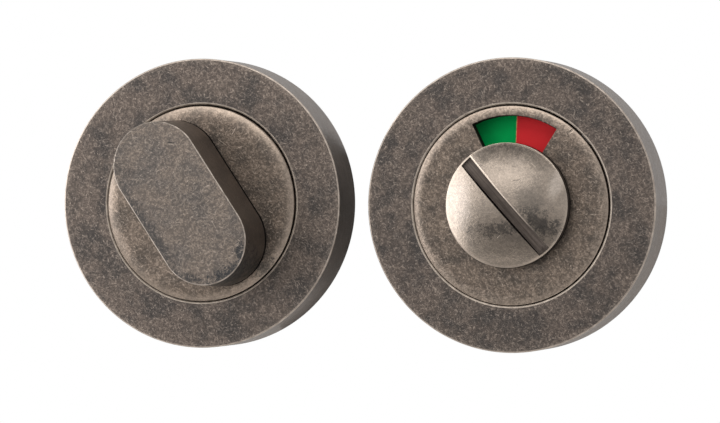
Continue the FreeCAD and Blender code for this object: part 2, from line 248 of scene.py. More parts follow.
# %% Scratches
scratch, scratch_in, scratch_out = new_group(
    "scratch", [*mark_inputs, ("Length", "Float", 1.5), ("Width", "Float", 0.1)], ["Line"]
)
along = put(scratch, "SeparateXYZ", {0: from_mark(scratch, scratch_in)[1]}).outputs
across = maths(scratch, "DIVIDE", maths(scratch, "ABSOLUTE", along["Z"]), scratch_in["Width"])
half_length = times(scratch, scratch_in["Length"], 0.5)
ended = maths(scratch, "DIVIDE", maths(scratch, "ABSOLUTE", along["X"]), half_length)
fade = times(scratch, ramp(scratch, across, 0.3, 1.0, 1.0, 0.0), ramp(scratch, ended, 0.4, 1.0, 1.0, 0.0))
scratch.links.new(fade, scratch_out.inputs["Line"])
print(f"{len(bpy.data.node_groups)} groups of patterns")

# %% [markdown]
# ## Aged pewter
#
# One finish serves every cast and turned face. How far a face looks along the axis decides what it
# shows: flats are felted and smoky, the rounded edges and the dome are rubbed smoother and paler,
# and the upright walls show the lathe. The normal's share along Y gives all three without a seam.
# A rim is paler towards the edge of a rose or a disc: partly where cloths rub it, partly a painted
# highlight on the rounded edge. It starts at one radius, is full at the next, and mixes in by a share.

# %% Rubbed rims, patches and scratches
def rim_wear_and_sheen(tree, spot, mottle, rim):
    """Mask that grows towards the edge of either rose, and mottled like the rest."""
    start, full, share = rim
    halves = put(tree, "SeparateXYZ", {0: spot}).outputs
    middle_x = release_x * MM / 2
    from_middle = maths(tree, "ABSOLUTE", maths(tree, "SUBTRACT", halves["X"], middle_x))
    aside = maths(tree, "SUBTRACT", from_middle, middle_x)
    squares = maths(tree, "ADD", times(tree, aside, aside), times(tree, halves["Z"], halves["Z"]))
    from_axis = maths(tree, "POWER", squares, 0.5)
    uneven = maths(tree, "MULTIPLY_ADD", mottle, 0.6, 0.4)
    return times(tree, times(tree, ramp(tree, from_axis, start * MM, full * MM), uneven), share)


def patch_mask(tree, spot, middle, turn, reach, share, ragged=1.0):
    feeds = {"Middle": middle, "Turn": math.radians(turn), "Reach": reach, "Ragged": ragged}
    return times(tree, use_group(tree, patch, Vector=spot, **feeds)["Patch"], share)


def scratch_mask(tree, spot, middle, turn, long, wide):
    feeds = {"Middle": middle, "Turn": math.radians(turn), "Length": long, "Width": wide}
    return use_group(tree, scratch, Vector=spot, **feeds)["Line"]


# %% The pewter
def pewter(name, middle, dark, pale, smoke_size=4.2, felted=1.0, smoky=1.0, gloss=0.40,
           shift=(0, 0, 0), lathe=1.0, rim=None, patches=(), scratches=()):
    """Patches are (middle, turn, reach, share, tone, ragged). Scratches are (middle, turn, length,
    width, share), pale, or dark where the share is below 0."""
    material = bpy.data.materials.new(name)
    material.use_nodes = True
    tree = material.node_tree
    shader = tree.nodes["Principled BSDF"]
    place = put(tree, "TexCoord").outputs
    spot = vector_maths(tree, "ADD", place["Object"], [c * MM for c in shift])
    facing = maths(tree, "ABSOLUTE", put(tree, "SeparateXYZ", {0: place["Normal"]}).outputs["Y"])
    flat = ramp(tree, facing, 0.80, 0.998)
    wall = ramp(tree, facing, 0.70, 0.30)
    rubbed = times(tree, maths(tree, "SUBTRACT", 1.0, flat), maths(tree, "SUBTRACT", 1.0, wall))
    strokes = use_group(tree, felt, Vector=spot, Width=0.16)
    clouds = use_group(tree, smoke, Vector=spot, Size=smoke_size)
    lines = times(tree, use_group(tree, turning, Vector=spot)["Lines"], times(tree, wall, lathe))
    felting = times(
        tree,
        maths(tree, "MULTIPLY_ADD", flat, 0.55 * felted, 0.45 * felted),
        maths(tree, "SUBTRACT", 1.0, times(tree, wall, 0.8 * lathe)),
    )
    smoky_share = times(tree, clouds["Smoke"], maths(tree, "MULTIPLY_ADD", flat, 0.35 * smoky, 0.25 * smoky))
    colour = blend(tree, times(tree, rubbed, 0.6), (*middle, 1), (*pale, 1))
    colour = blend(tree, smoky_share, colour, (*dark, 1))
    # the paler rim is partly wear and partly a painted highlight
    if rim:
        colour = blend(tree, rim_wear_and_sheen(tree, place["Object"], clouds["Mottle"], rim), colour, (*pale, 1))
    for where, turn, reach, share, tone, ragged_share in patches:
        mask = patch_mask(tree, place["Object"], where, turn, reach, share, ragged_share)
        colour = blend(tree, mask, colour, (*tone, 1))
    low_nap = times(tree, times(tree, maths(tree, "SUBTRACT", 1.0, strokes["Nap"]), felting), 0.56)
    colour = blend(tree, low_nap, colour, (*[c * 0.6 for c in dark], 1))
    pale_strokes = times(tree, strokes["Strokes"], times(tree, felting, 0.72))
    colour = blend(tree, pale_strokes, colour, (*pale, 1))
    relief = times(tree, maths(tree, "ADD", strokes["Strokes"], strokes["Nap"]), felting)
    for where, turn, long, wide, share in scratches:
        line = scratch_mask(tree, place["Object"], where, turn, long, wide)
        tone = [c * 0.4 for c in dark] if share < 0 else [c * 1.3 for c in pale]
        colour = blend(tree, times(tree, line, abs(share)), colour, (*tone, 1))
        relief = maths(tree, "SUBTRACT", relief, times(tree, line, 1.5))
    colour = blend(tree, times(tree, lines, 0.35), colour, (*dark, 1))
    tree.links.new(colour, shader.inputs["Base Color"])
    shader.inputs["Metallic"].default_value = 1.0
    rough = maths(tree, "MULTIPLY_ADD", clouds["Mottle"], 0.25 * gloss, gloss)
    rough = maths(tree, "SUBTRACT", rough, times(tree, rubbed, 0.06))
    tree.links.new(rough, shader.inputs["Roughness"])
    height = maths(tree, "ADD", relief, lines)
    bump = put(tree, "Bump", {"Height": height, "Strength": 0.25, "Distance": 0.00004})
    tree.links.new(bump.outputs[0], shader.inputs["Normal"])
    return material


# %% Pewter for the roses
grey_brown = (0.125, 0.100, 0.0845)
smoky_grey = (0.050, 0.046, 0.044)
rubbed_pale = (0.300, 0.248, 0.208)
rose_pewter = pewter(
    "rose_pewter", grey_brown, smoky_grey, rubbed_pale, smoky=1.35, rim=(23.7, 25.0, 0.30),
    scratches=[((-20.4, 0, 14.6), 50, 1.8, 0.07, 0.6)],
)
disc_tones = ((0.164, 0.128, 0.102), (0.055, 0.049, 0.044), (0.340, 0.277, 0.228))
inside_disc = pewter(
    "inside_disc_pewter", *disc_tones, smoke_size=3.4, smoky=1.1, rim=(15.2, 16.8, 0.25),
    # painted shadow: the dark patch beside the thumb turn's lower end stands for the head's shadow on the disc
    patches=[((11.6, 0, -10.9), 45, (2.6, 1, 1.8), 0.9, disc_tones[1], 1.0)],
    scratches=[
        ((6.2, 0, 12.4), 62, 2.0, 0.07, 0.8),
        ((4.1, 0, 10.6), -35, 2.6, 0.06, 0.7),
        ((7.3, 0, 9.7), 20, 1.6, 0.06, 0.6),
    ],
)
outside_disc = pewter(
    "outside_disc_pewter", *disc_tones, smoke_size=3.4, smoky=1.1, rim=(14.9, 16.4, 0.62),
    scratches=[
        ((65.43, 0, 12.67), 40, 0.9, 0.10, -1.0),  # the nick beside the window: its dark side
        ((65.54, 0, 12.32), 35, 0.9, 0.10, 1.0),  # and its bright one
    ],
)

# %% [markdown]
# ## Where the two turned parts stand
#
# At rest the thumb turn leans to the left, and so does the coin slot, a little more. Both angles are
# used for the shapes and for marks that follow them. A line that runs along the slot is turned by a
# quarter turn less than the slot leans.

# %% Pewter for the head
turn_lean, slot_lean = 33.9, 42.1


def on_head(across, along, lean=math.radians(turn_lean)):
    """A place on the leaning head, from its middle: to its right, and up along it."""
    x = across * math.cos(lean) - along * math.sin(lean)
    return (x, 0, across * math.sin(lean) + along * math.cos(lean))


blue_black = (0.026, 0.028, 0.031)
head_pewter = pewter(
    "head_pewter", (0.158, 0.128, 0.106), (0.062, 0.061, 0.062), (0.300, 0.252, 0.213),
    shift=(7, 0, 31), smoky=0.8, felted=0.95, lathe=0.25,
    patches=[
        (on_head(-7.0, -2.0), turn_lean, (1.5, 1, 13.0), 0.55, blue_black, 1.0),
        (on_head(-5.6, 10.4), 60, (1.6, 1, 4.5), 0.45, blue_black, 1.0),
        (on_head(0.2, -14.6), turn_lean, (5.2, 1, 1.5), 0.95, blue_black, 1.0),
        (on_head(4.4, -12.8), -6, (1.2, 1, 3.2), 0.9, blue_black, 1.0),
        (on_head(-5.0, -12.0), 74, (1.1, 1, 3.0), 0.75, blue_black, 1.0),
    ],
    scratches=[
        ((-1.5, 0, 10.3), -8, 1.4, 0.13, -0.9),
        ((-1.6, 0, 10.05), -6, 1.2, 0.07, 0.6),
        ((3.6, 0, -2.2), 10, 0.8, 0.10, -0.6),
        ((6.2, 0, -3.6), -60, 1.8, 0.06, 0.5),
        ((5.0, 0, 3.0), 25, 1.3, 0.06, 0.4),
    ],
)

# %% [markdown]
# ## The button's finish
#
# The dome is rubbed the brightest, so its felt is faint. Its patches are mostly changes of tone: a
# wide darker one over the top is a painted reflection, the wiry ones across the lower half are partly
# stains and partly a painted reflection of the dark front, and the paler ones at the left and right
# are painted highlights. The last scratch is a painted highlight along the slot's upper edge, partly
# a worn edge.

# %% Pewter for the button
top_painted_reflection, faint_brown = (0.030, 0.025, 0.021), (0.07, 0.06, 0.05)
button_pewter = pewter(
    "button_pewter", (0.316, 0.262, 0.216), (0.070, 0.069, 0.069), (0.370, 0.312, 0.262),
    felted=0.38, smoky=0.3, gloss=0.21,
    patches=[
        # partly stains and partly a painted reflection of the dark front
        ((54.2, 0, -4.0), 4, (5.8, 1, 1.35), 0.62, blue_black, 1.2),
        ((61.2, 0, -2.8), -25, (4.6, 1, 2.4), 0.70, blue_black, 1.2),
        # painted reflection: darker over the top of the dome
        ((54.6, 0, 14.4), 0, (18.0, 1, 10.3), 0.96, top_painted_reflection, 0.14),
        ((51.0, 0, 8.6), 20, (2.6, 1, 2.0), 0.45, faint_brown, 0.4),
        ((60.6, 0, 8.2), -35, (3.6, 1, 2.8), 0.50, faint_brown, 0.4),
        ((59.2, 0, 1.0), -30, (4.4, 1, 3.4), 0.45, (0.10, 0.09, 0.08), 0.5),
        # painted highlights: the paler patches at the right and the left of the dome
        ((63.7, 0, 3.6), -20, (1.7, 1, 3.8), 0.60, (0.52, 0.45, 0.39), 0.3),
        ((46.8, 0, 0.2), 0, (3.4, 1, 6.4), 0.35, (0.39, 0.345, 0.312), 0.25),
        ((54.6, 0, -10.3), 0, (7.0, 1, 1.2), 0.40, (0.12, 0.10, 0.085), 0.4),
    ],
    scratches=[
        ((57.0, 0, 4.2), 6, 1.6, 0.06, -0.5),
        ((56.4, 0, 6.5), -4, 1.0, 0.05, -0.5),
        ((53.9, 0, -5.3), 38, 1.0, 0.06, 0.6),
        ((59.6, 0, 6.9), -40, 1.4, 0.05, 0.4),
        ((50.9, 0, 1.8), 70, 1.2, 0.05, -0.3),
        # painted highlight along the slot's upper edge, partly a worn edge
        ((53.62, 0, 2.80), slot_lean - 90, 25.0, 0.16, 1.0),
    ],
)
print("pewter for the roses, the head and the button")

# %% [markdown]
# ## Worn edges and milled faces
#
# Hands and polishing cloths wear an edge first, so every edge gets a narrow bevel of brighter
# metal. The lip beside the groove is duller, so that it doesn't flash. The slot and the necks were
# milled or turned after casting and never tumbled: they show plain tool lines. The button's side is
# painted darker than its dome as painted shade, and the window's cut walls and rim darker still, as
# painted shade.

# %% Bright edge and milled metal
def drawn_metal(name, light, dark, lines, turn=0.0, gloss=0.35, patches=()):
    """Metal with straight tool marks; lines is how often they repeat along X, Y and Z."""
    material = bpy.data.materials.new(name)
    material.use_nodes = True
    tree = material.node_tree
    shader = tree.nodes["Principled BSDF"]
    place = put(tree, "TexCoord").outputs["Object"]
    drawn = vector_maths(tree, "MULTIPLY", rotated(tree, place, turn), lines)
    marks = noise(tree, drawn, 1.0, 4.0, 0.6)
    clouds = use_group(tree, smoke, Vector=place, Size=3.0)
    share = ramp(tree, marks, 0.3, 0.7)
    colour = blend(tree, share, (*dark, 1), (*light, 1))
    colour = blend(tree, times(tree, clouds["Smoke"], 0.35), colour, (*dark, 1))
    # darker patches at given places on the metal
    for darker_spot in patches:
        colour = blend(tree, patch_mask(tree, place, *darker_spot), colour, (*[c * 0.5 for c in dark], 1))
    tree.links.new(colour, shader.inputs["Base Color"])
    shader.inputs["Metallic"].default_value = 1.0
    tree.links.new(maths(tree, "MULTIPLY_ADD", clouds["Mottle"], 0.12, gloss), shader.inputs["Roughness"])
    bump = put(tree, "Bump", {"Height": share, "Strength": 0.3, "Distance": 0.00002})
    tree.links.new(bump.outputs[0], shader.inputs["Normal"])
    return material


worn_edge = drawn_metal("worn_edge", (0.42, 0.36, 0.31), (0.25, 0.21, 0.18), (900,) * 3, gloss=0.32)
head_edge = drawn_metal(
    "head_edge", (0.40, 0.345, 0.30), (0.20, 0.17, 0.145), (900,) * 3, gloss=0.32,
    patches=[(on_head(0, 16.5), turn_lean, (13, 1, 9), 0.85)],
)
worn_lip = drawn_metal("worn_lip", (0.41, 0.357, 0.306), (0.27, 0.232, 0.198), (900,) * 3, gloss=0.62)
# painted shade for the window's cut walls, its left end and its top rim
painted_window_shade = drawn_metal("painted_window_shade", (0.030, 0.026, 0.023), (0.014, 0.012, 0.011), (600,) * 3, gloss=0.70)
# painted shade: a dark metal for the button's side
painted_side_shade = drawn_metal(
    "button_side_painted_shade", (0.082, 0.068, 0.058), (0.044, 0.037, 0.032), (60, 5200, 60), gloss=0.5
)
milled = drawn_metal(
    "milled_slot", (0.140, 0.114, 0.098), (0.068, 0.056, 0.049), (4200, 900, 120),
    turn=math.radians(slot_lean), gloss=0.5, patches=[((61.3, 0, -7.5), slot_lean, (1.3, 1, 0.9), 0.7)],
)
zinc_plate = drawn_metal(
    "zinc_plate", (0.55, 0.56, 0.56), (0.38, 0.39, 0.40), (160, 160, 2600), gloss=0.30
)
spring_metal = drawn_metal("spring_metal", (0.30, 0.29, 0.28), (0.16, 0.155, 0.15), (700,) * 3, gloss=0.34)
brass = drawn_metal("disc_brass", (0.62, 0.46, 0.20), (0.44, 0.31, 0.13), (240, 240, 3000), gloss=0.33)
print("worn edges, milled slot, plate, spring and brass")

# %% [markdown]
# ## Colours behind the window, nylon and shade
#
# The two colours are thin satin foils on the disc, a little uneven from the glue. Their own colour
# is nearly flat, so faint dust and a soft ripple are what keep them from looking painted on. The
# bushes and the thin washer are milky nylon. Deep shade is for the faces inside a gap: metal there
# would still mirror the white room along its surface, so it is a dull black instead.

# %% Foils, nylon and deep shade
def moulded(name, colour, shade, grain, gloss, shine=0.5):
    material = bpy.data.materials.new(name)
    material.use_nodes = True
    tree = material.node_tree
    shader = tree.nodes["Principled BSDF"]
    place = put(tree, "TexCoord").outputs["Object"]
    clouds = use_group(tree, smoke, Vector=place, Size=grain)
    tone = blend(tree, times(tree, clouds["Smoke"], 0.5), (*colour, 1), (*shade, 1))
    tree.links.new(tone, shader.inputs["Base Color"])
    tree.links.new(maths(tree, "MULTIPLY_ADD", clouds["Mottle"], 0.15, gloss), shader.inputs["Roughness"])
    shader.inputs["Specular IOR Level"].default_value = shine
    bump = put(tree, "Bump", {"Height": clouds["Smoke"], "Strength": 0.2, "Distance": 0.00003})
    tree.links.new(bump.outputs[0], shader.inputs["Normal"])
    return material


green = moulded("foil_green", (0.0001, 0.290, 0.066), (0.0001, 0.245, 0.056), 5.0, 0.40, shine=0.03)
red = moulded("foil_red", (0.570, 0.023, 0.028), (0.490, 0.020, 0.024), 5.0, 0.40, shine=0.05)
nylon = moulded("nylon", (0.72, 0.70, 0.64), (0.62, 0.60, 0.54), 2.0, 0.42)
# painted shade: a dull black for faces that stand for gaps
deep_shade = moulded(
    "deep_shade", (0.0085, 0.0075, 0.007), (0.005, 0.0045, 0.004), 1.0, 0.9, shine=0.0
)
print("two foils, nylon and deep shade")

# %% [markdown]
# ## Lathe work
#
# Most of the lock is round, so most pieces start as a circle that is extruded and scaled from
# corner to corner of a section, the way a lathe tool follows a template. A section is written as
# pairs of radius and height out from the door, in millimetres. A spin would also do, but stretching
# one circle keeps every ring of points exactly round and evenly spaced.

# %% Select one piece, or points of it
def select_only(piece):
    bpy.ops.object.select_all(action="DESELECT")
    piece.select_set(True)
    bpy.context.view_layer.objects.active = piece


def edit_edges(piece):
    select_only(piece)
    bpy.ops.object.mode_set(mode="EDIT")
    bpy.ops.mesh.select_mode(type="EDGE")


# %% Turn a section
def turned(name, section, end="ring", sides=192):
    """end is ring where the section closes on itself, flat for a capped bar, dome for a pole."""
    (r, out), *others = section
    bpy.ops.object.select_all(action="DESELECT")
    bpy.ops.mesh.primitive_circle_add(
        vertices=sides,
        radius=r * MM,
        fill_type="NOTHING" if end == "ring" else "NGON",
        location=(0, -out * MM, 0),
        rotation=(math.pi / 2, 0, 0),
    )
    piece = bpy.context.object
    piece.name = piece.data.name = name
    bpy.ops.object.transform_apply(location=True, rotation=True)
    edit_edges(piece)
    bpy.ops.mesh.select_all(action="SELECT")
    for new_r, new_out in others:
        bpy.ops.mesh.extrude_edges_move(
            TRANSFORM_OT_translate={"value": (0, (out - new_out) * MM, 0)}
        )
        bpy.ops.transform.resize(value=(new_r / r, 1, new_r / r), center_override=(0, 0, 0))
        r, out = new_r, new_out
    if end == "flat":
        bpy.ops.mesh.edge_face_add()
    if end == "dome":
        bpy.ops.mesh.merge(type="CENTER")
    bpy.ops.mesh.select_all(action="SELECT")
    bpy.ops.mesh.remove_doubles(threshold=1e-7)
    bpy.ops.mesh.normals_make_consistent(inside=False)
    bpy.ops.object.mode_set(mode="OBJECT")
    return piece


# %% Points on an arc of a section
def arc(start, rise, steps):
    """Points inwards along a rounded edge: it rises by rise[1] over rise[0] and ends level."""
    width, height = rise
    radius = (width ** 2 + height ** 2) / (2 * height)
    whole = math.asin(width / radius)
    centre = (start[0] - width, start[1] + height - radius)
    angles = [whole * (1 - i / steps) for i in range(steps + 1)]
    return [(centre[0] + radius * math.sin(a), centre[1] + radius * math.cos(a)) for a in angles]


# %% Cut, join and wear edges
def combine(piece, tool, operation="DIFFERENCE"):
    """Cuts a piece with a tool body, or joins the two, and takes the tool away."""
    select_only(piece)
    step = piece.modifiers.new("cut", "BOOLEAN")
    step.operation = operation
    step.object = tool
    step.solver = "EXACT"
    bpy.ops.object.modifier_apply(modifier=step.name)
    bpy.data.objects.remove(tool)
    return piece


def block(x, out, z):
    """Plain tool body between two values along each direction, in millimetres."""
    spans = [(x[0], x[1]), (-out[1], -out[0]), (z[0], z[1])]
    bpy.ops.object.select_all(action="DESELECT")
    bpy.ops.mesh.primitive_cube_add(
        size=1,
        location=[(a + b) / 2 * MM for a, b in spans],
        scale=[(b - a) * MM for a, b in spans],
    )
    bpy.ops.object.transform_apply(location=True, scale=True)
    return bpy.context.object


def wear(piece, chosen, width, segments=2, metal=1):
    """Bevels the edges whose two ends both pass a test on (radius, out, x, z)."""
    edit_edges(piece)
    bpy.ops.mesh.select_all(action="DESELECT")
    mesh = bmesh.from_edit_mesh(piece.data)
    picked = 0
    for edge in mesh.edges:
        ends = [
            (math.hypot(v.co.x, v.co.z) / MM, -v.co.y / MM, v.co.x / MM, v.co.z / MM) for v in edge.verts
        ]
        if all(chosen(*end) for end in ends):
            edge.select_set(True)
            picked += 1
    bmesh.update_edit_mesh(piece.data)
    bpy.ops.mesh.bevel(
        offset=width * MM,
        segments=segments,
        profile=0.5,
        affect="EDGES",
        material=metal,
        clamp_overlap=True,
    )
    bpy.ops.object.mode_set(mode="OBJECT")
    print(f"{piece.name}: {picked} edges worn to {width} mm")


def near(a, b, slack=0.004):
    return abs(a - b) < slack


def metal_where(piece, metal, chosen):
    """Gives another of the piece's metals to the faces whose middle and normal pass a test."""
    for face in piece.data.polygons:
        spot = face.center / MM
        if chosen(math.hypot(spot.x, spot.z), -spot.y, spot, face.normal):
            face.material_index = metal


def nudge(piece, chosen, shift):
    """Moves the points that pass a test on (radius, out) by a few hundredths of a millimetre."""
    edit_edges(piece)
    bpy.ops.mesh.select_mode(type="VERT")
    bpy.ops.mesh.select_all(action="DESELECT")
    mesh = bmesh.from_edit_mesh(piece.data)
    for point in mesh.verts:
        point.select_set(chosen(math.hypot(point.co.x, point.co.z) / MM, -point.co.y / MM))
    mesh.select_flush(True)
    bmesh.update_edit_mesh(piece.data)
    bpy.ops.transform.translate(value=[c * MM for c in shift])
    bpy.ops.object.mode_set(mode="OBJECT")


# %% Hand a finished piece to the frame
def give(piece, metals):
    for metal in metals:
        piece.data.materials.append(metal)
    return piece


def settle(piece, node, lean=0.0, x=0.0):
    """Leans and shifts the mesh to its place, smooths it, and lets it stand for its solid."""
    select_only(piece)
    piece.rotation_euler.y = -math.radians(lean)
    piece.location.x = x * MM
    bpy.ops.object.transform_apply(location=True, rotation=True)
    bpy.ops.object.shade_smooth_by_angle(angle=math.radians(28))
    level = piece.modifiers.new("level", "WEIGHTED_NORMAL")
    level.keep_sharp = True
    bpy.ops.object.modifier_apply(modifier=level.name)
    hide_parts(node)
    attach(piece, body_of[node])
    print(f"{piece.name}: {len(piece.data.polygons)} faces, stands for {node}")
    return piece


def twin(piece, name):
    """A copy with its own mesh, for the other half of the set."""
    copy = piece.copy()
    copy.data = piece.data.copy()
    copy.name = copy.data.name = name
    bpy.context.scene.collection.objects.link(copy)
    return copy


# %% [markdown]
# ## The cover rings
#
# Each ring is a pressed and turned shell that screws over the fixing plate and hides its screws.
# Its front corner is worn to a narrow pale line, and the lip beside the dark groove is rounded more.
# The photo's groove is dark at the top right and closes at the lower left, so the ring's bore sits
# a little to the right, and the disc in it a little low. Both halves use the same ring, so it is
# modelled once and copied.

# %% Model a cover ring
ring_edge, ring_bore, ring_front = 25, 17.07, 10
ring = turned(
    "inside_cover_ring",
    [(23.4, 0), (ring_edge, 0), (ring_edge, ring_front), (ring_bore, ring_front), (ring_bore, 8),
     (23.4, 8), (23.4, 0)],
    sides=256,
)
give(ring, [rose_pewter, worn_edge, worn_lip])
metal_where(ring, 2, lambda r, out, spot, normal: r < ring_bore + 0.23 and out > 8)
wear(ring, lambda r, out, x, z: near(r, ring_edge) and near(out, ring_front), 0.25, segments=3)
wear(ring, lambda r, out, x, z: near(r, ring_bore) and near(out, ring_front), 0.36, segments=5, metal=2)
wear(ring, lambda r, out, x, z: near(r, ring_edge) and near(out, 0), 0.12)
nudge(ring, lambda r, out: r < 17.6, (0.085, 0, 0))
settle(twin(ring, "outside_cover_ring"), "release_cover_ring", x=release_x)
settle(ring, "turn_cover_ring")

# %% [markdown]
# ## The fixing plates
#
# A plate is a flange with four screw holes and a hollow boss, cast in one. The boss fills the
# ring's bore and shows as the centre disc, with a rounded edge that rises above the ring. Behind,
# it is hollow. The inside plate needs a long bearing for the thumb turn, so it has a hub, and four
# ribs tie the hub to the wall.

# %% Edge of the centre disc, and screw holes
disc_edge = 16.90


def wear_disc_edge(plate):
    wear(plate, lambda r, out, x, z: near(r, disc_edge) and near(out, ring_front), 0.12)
    nudge(plate, lambda r, out: 16.75 < r < 17, (0, 0, -0.06))


def with_screw_holes(plate):
    for corner in range(4):
        angle = math.radians(45 + 90 * corner)
        drill = turned("drill", [(1.75, -1), (1.75, 4)], end="flat", sides=32)
        drill.location = (20.075 * MM * math.cos(angle), 0, 20.075 * MM * math.sin(angle))
        combine(plate, drill)
    return plate


# %% Inside plate
crown = arc((disc_edge, ring_front), (2.5, 0.9), 12)
plate = turned(
    "inside_fixing_plate",
    [(15.85, 0), (23.3, 0), (23.3, 3), (disc_edge, 3), *crown, (6.21, 10.9), (6.21, 4),
     (8.5, 4), (8.5, 8.5), (15.85, 8.5), (15.85, 0)],
    sides=256,
)
give(plate, [inside_disc, worn_edge])
wear_disc_edge(plate)
for reach, width in (((8.2, 16.3), (-0.8, 0.8)), ((-16.3, -8.2), (-0.8, 0.8)),
                     ((-0.8, 0.8), (8.2, 16.3)), ((-0.8, 0.8), (-16.3, -8.2))):
    combine(plate, block(reach, (5, 8.7), width), "UNION")
settle(with_screw_holes(plate), "turn_fixing_plate")

# %% [markdown]
# ## The indicator's window
#
# The outside plate has a window cut through its face, a sector of a ring. The cutter starts as a
# whole ring and two bisects take away what lies outside the window's ends, which leaves closed
# ends. The bisects keep even the closest points apart, or the ends would come out skewed. The rim
# is rounded a little, and a cast peg inside stops the disc after a quarter turn.

# %% Cutter for the window
def keep_side(piece, angle, side):
    """Cuts a body with a plane through the axis and keeps one side of it."""
    edit_edges(piece)
    bpy.ops.mesh.select_all(action="SELECT")
    a = math.radians(angle)
    across = (side * math.cos(a), 0, side * math.sin(a))
    bpy.ops.mesh.bisect(
        plane_co=(0, 0, 0), plane_no=across, use_fill=True, clear_outer=True, threshold=1e-7
    )
    bpy.ops.object.mode_set(mode="OBJECT")


window_middle, window_sweep, window_top = -3.0, 58.0, 15.12
window = turned(
    "window_cutter", [(9.5, 7), (window_top, 7), (window_top, 12), (9.5, 12), (9.5, 7)], sides=240
)
keep_side(window, window_middle + window_sweep / 2, -1)
keep_side(window, window_middle - window_sweep / 2, 1)
print("window cutter", [round(v / MM, 2) for v in window.dimensions])

# %% Outside plate
crown = arc((disc_edge, ring_front), (1.5, 0.45), 10)
plate = turned(
    "outside_fixing_plate",
    [(15.85, 0), (23.3, 0), (23.3, 3), (disc_edge, 3), *crown, (6.21, 10.45), (6.21, 8.05),
     (15.85, 8.05), (15.85, 0)],
    sides=256,
)
give(plate, [outside_disc, worn_edge, painted_window_shade])
wear_disc_edge(plate)
combine(plate, window)
# painted shade: the window's cut walls and the bevels of its left end and top rim get near-black metal
metal_where(plate, 2, lambda r, out, spot, normal: (
    8.1 < out < 10.44 and 9.4 < r < 15.2 and abs(normal.y) < 0.1))
for side, metal, width in ((-1, 1, 0.06), (1, 2, 0.08)):
    window_end = window_middle + side * window_sweep / 2
    wear(plate, lambda r, out, x, z: (
        out > 10.4 and 9 < r < 15.2 and near(math.degrees(math.atan2(-x, z)), window_end, 0.05)
    ), width, metal=metal)
wear(plate, lambda r, out, x, z: out > 10.4 and near(r, window_top, 0.01), 0.10, metal=2)
peg = turned("peg", [(1, 6), (1, 8.3)], end="flat", sides=32)
peg.location.z = -12.3 * MM
combine(plate, peg, "UNION")
settle(with_screw_holes(plate), "release_fixing_plate", x=release_x)

# %% [markdown]
# ## The thumb turn
#
# The head is an oval with straight sides and half-round ends. A circle whose two halves are moved
# apart gives it, and each half is then grown about its own centre, so the draft of the sides stays
# even all round. Its neck is turned, with a groove for the retaining clip and a square hole for the
# spindle. The head hangs just clear of the disc. From the front that gap is a dark line, which the
# scene shows as painted shade: the head reaches down into the gap, and that band is dull black.

# %% Grow an oval about its two centres
def each_end(piece, action):
    """Runs an operator on the selected upper points, then on the lower ones."""
    mesh = bmesh.from_edit_mesh(piece.data)
    picked = [v.index for v in mesh.verts if v.select]
    for side in (1, -1):
        bpy.ops.mesh.select_all(action="DESELECT")
        mesh = bmesh.from_edit_mesh(piece.data)
        mesh.verts.ensure_lookup_table()
        for index in picked:
            if mesh.verts[index].co.z * side > 0:
                mesh.verts[index].select_set(True)
        bmesh.update_edit_mesh(piece.data)
        action(side)
    mesh = bmesh.from_edit_mesh(piece.data)
    mesh.verts.ensure_lookup_table()
    for index in picked:
        mesh.verts[index].select_set(True)
    mesh.select_flush(True)
    bmesh.update_edit_mesh(piece.data)


# %% Head and neck
def oval_head(name, front_out, base_out, width, length, spread, sides=160):
    straight = (length - width) / 2 * MM
    bpy.ops.object.select_all(action="DESELECT")
    bpy.ops.mesh.primitive_circle_add(
        vertices=sides,
        radius=(width / 2 + spread) * MM,
        fill_type="NGON",
        location=(0, -base_out * MM, 0),
        rotation=(math.pi / 2, math.pi / sides, 0),
    )
    head = bpy.context.object
    head.name = head.data.name = name
    bpy.ops.object.transform_apply(location=True, rotation=True)
    select_only(head)
    bpy.ops.object.mode_set(mode="EDIT")
    bpy.ops.mesh.select_mode(type="VERT")
    bpy.ops.mesh.select_all(action="SELECT")
    each_end(head, lambda side: bpy.ops.transform.translate(value=(0, 0, side * straight)))
    bpy.ops.mesh.select_mode(type="FACE")
    bpy.ops.mesh.select_all(action="SELECT")
    bpy.ops.mesh.extrude_region_move(TRANSFORM_OT_translate={"value": (0, (base_out - front_out) * MM, 0)})
    bpy.ops.mesh.select_mode(type="VERT")
    shrink = width / (width + 2 * spread)
    each_end(head, lambda side: bpy.ops.transform.resize(
        value=(shrink, 1, shrink), center_override=(0, -front_out * MM, side * straight)))
    bpy.ops.mesh.select_all(action="SELECT")
    bpy.ops.mesh.normals_make_consistent(inside=False)
    bpy.ops.object.mode_set(mode="OBJECT")
    return head


shade_base, head_base, head_front = 11.05, 11.80, 21.8
knob = oval_head("thumb_turn_knob", head_front, shade_base, 15.30, 30.42, 0.376)
edit_edges(knob)
bpy.ops.mesh.select_all(action="SELECT")
bpy.ops.mesh.bisect(plane_co=(0, -head_base * MM, 0), plane_no=(0, 1, 0))
bpy.ops.object.mode_set(mode="OBJECT")
combine(knob, turned("over_bush", [(7.2, 10.5), (7.2, head_base)], end="flat"))
print("head", [round(v / MM, 2) for v in knob.dimensions])
give(knob, [head_pewter, head_edge, deep_shade])
# painted shade: the band below the head's foot is dull black and stands for the gap
metal_where(knob, 2, lambda r, out, spot, normal: out < head_base + 0.01)
wear(knob, lambda r, out, x, z: near(out, head_front), 0.18, segments=3)

# %% Neck, groove and square hole
def neck(name, top, groove, sides=96):
    low, high = groove
    section = [(4.8, 0.9), (5, 1.1), (5, low), (4.4, low), (4.4, high), (5, high), (5, top)]
    return turned(name, section, end="flat", sides=sides)


combine(knob, neck("turn_neck", head_base + 1, (1.8, 2.7)), "UNION")
combine(knob, block((-2.55, 2.55), (0, 16.85), (-2.55, 2.55)))
settle(knob, "turn_knob", lean=turn_lean)
